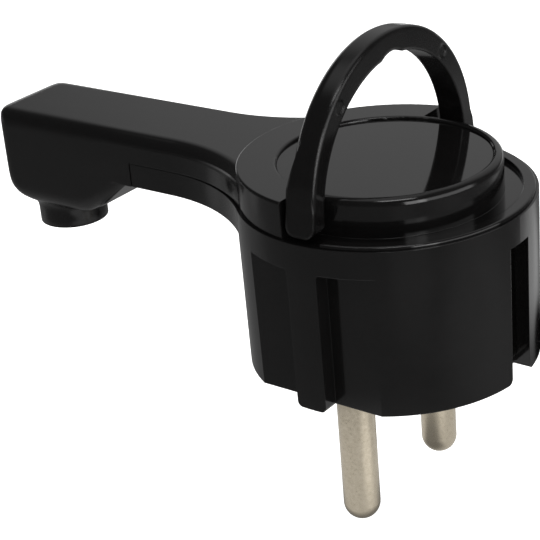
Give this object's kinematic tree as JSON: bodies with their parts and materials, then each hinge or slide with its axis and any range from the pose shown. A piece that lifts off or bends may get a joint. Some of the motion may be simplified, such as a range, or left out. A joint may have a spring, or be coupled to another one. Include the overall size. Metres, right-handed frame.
{
  "type": "mains plug",
  "caption": "Angled earthed mains plug with round pins, a side cable arm with a downward outlet, and a pull ring that folds flat around the tower on its back.",
  "frame": {"origin": "centre of the contact face, midway between the pins", "axes": "+Z out of the back of the plug, pins along -Z on the Y axis, cable arm along -X"},
  "size_m": [0.0794, 0.0374, 0.0629],
  "materials": {
    "housing": "satin black",
    "plate": "glossy black",
    "nickel": "nickel-plated satin",
    "brass": "bright",
    "steel": "zinc-plated"
  },
  "bodies": {
    "housing": {"lower_housing": "housing", "upper_housing": "housing", "cover_plate": "plate", "pin_front": "nickel", "pin_back": "nickel", "terminal_washer_front": "brass", "terminal_washer_back": "brass", "terminal_screw_front": "steel", "terminal_screw_back": "steel", "earth_strip": "nickel", "earth_post": "brass", "earth_washer": "brass", "earth_screw": "steel", "cable_clamp": "housing", "clamp_screw_front": "steel", "clamp_screw_back": "steel", "housing_nut_front": "steel", "housing_nut_back": "steel", "housing_screw_front": "steel", "housing_screw_back": "steel"},
    "ring": {"pull_ring": "housing"}
  },
  "joints": [
    {"name": "ring_fold", "type": "hinge", "parent": "housing", "child": "ring", "pos_m": [0, 0, 0.026], "axis": [0, 1, 0], "range_deg": [0, 90]}
  ]
}
